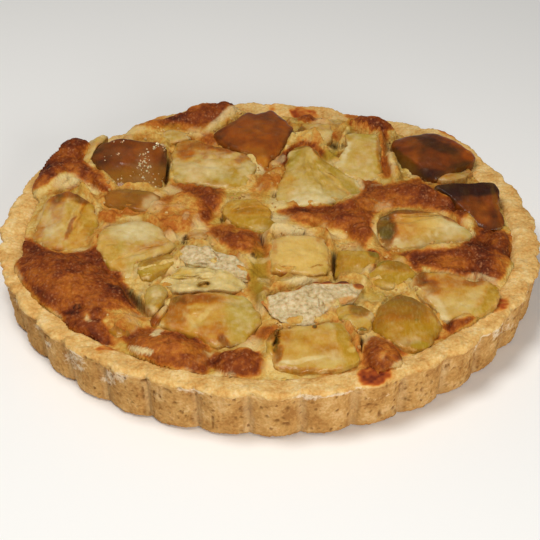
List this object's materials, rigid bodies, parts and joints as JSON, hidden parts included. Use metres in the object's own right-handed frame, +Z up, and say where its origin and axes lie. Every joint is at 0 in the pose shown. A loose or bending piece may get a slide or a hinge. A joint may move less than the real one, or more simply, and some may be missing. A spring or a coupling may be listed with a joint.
{
  "type": "rustic apple tart",
  "caption": "Round deep apple tart: fluted shortcrust shell filled with browned almond batter and big baked apple chunks that stand out of it.",
  "frame": {"origin": "middle of the flat underside", "axes": "+Z up through the tart, -Y towards the picture's viewer, +X to the viewer's right"},
  "size_m": [0.2675, 0.2692, 0.0413],
  "materials": {
    "crust": "matte golden shortcrust, floury and speckled",
    "batter": "matte browned batter with a grainy skin",
    "crumb": "matte pale open crumb",
    "apple": "moist baked apple flesh, softly glossy",
    "apple_caramelised": "glossy caramelised apple"
  },
  "bodies": {
    "root": {"crust": "crust", "batter": "batter", "crumb_1": "crumb", "crumb_2": "crumb", "apple_01": "apple_caramelised", "apple_02": "apple_caramelised", "apple_03": "apple_caramelised", "apple_04": "apple", "apple_05": "apple", "apple_06": "apple", "apple_07": "apple", "apple_08": "apple", "apple_09": "apple", "apple_10": "apple_caramelised", "apple_11": "apple", "apple_12": "apple_caramelised", "apple_13": "apple", "apple_14": "apple", "apple_15": "apple", "apple_16": "apple", "apple_17": "apple", "apple_18": "apple", "apple_19": "apple", "apple_20": "apple", "apple_21": "apple", "apple_22": "apple", "apple_23": "apple", "apple_24": "apple", "apple_25": "apple", "apple_26": "apple", "apple_27": "apple", "apple_28": "apple", "apple_29": "apple", "apple_30": "apple"}
  },
  "joints": []
}
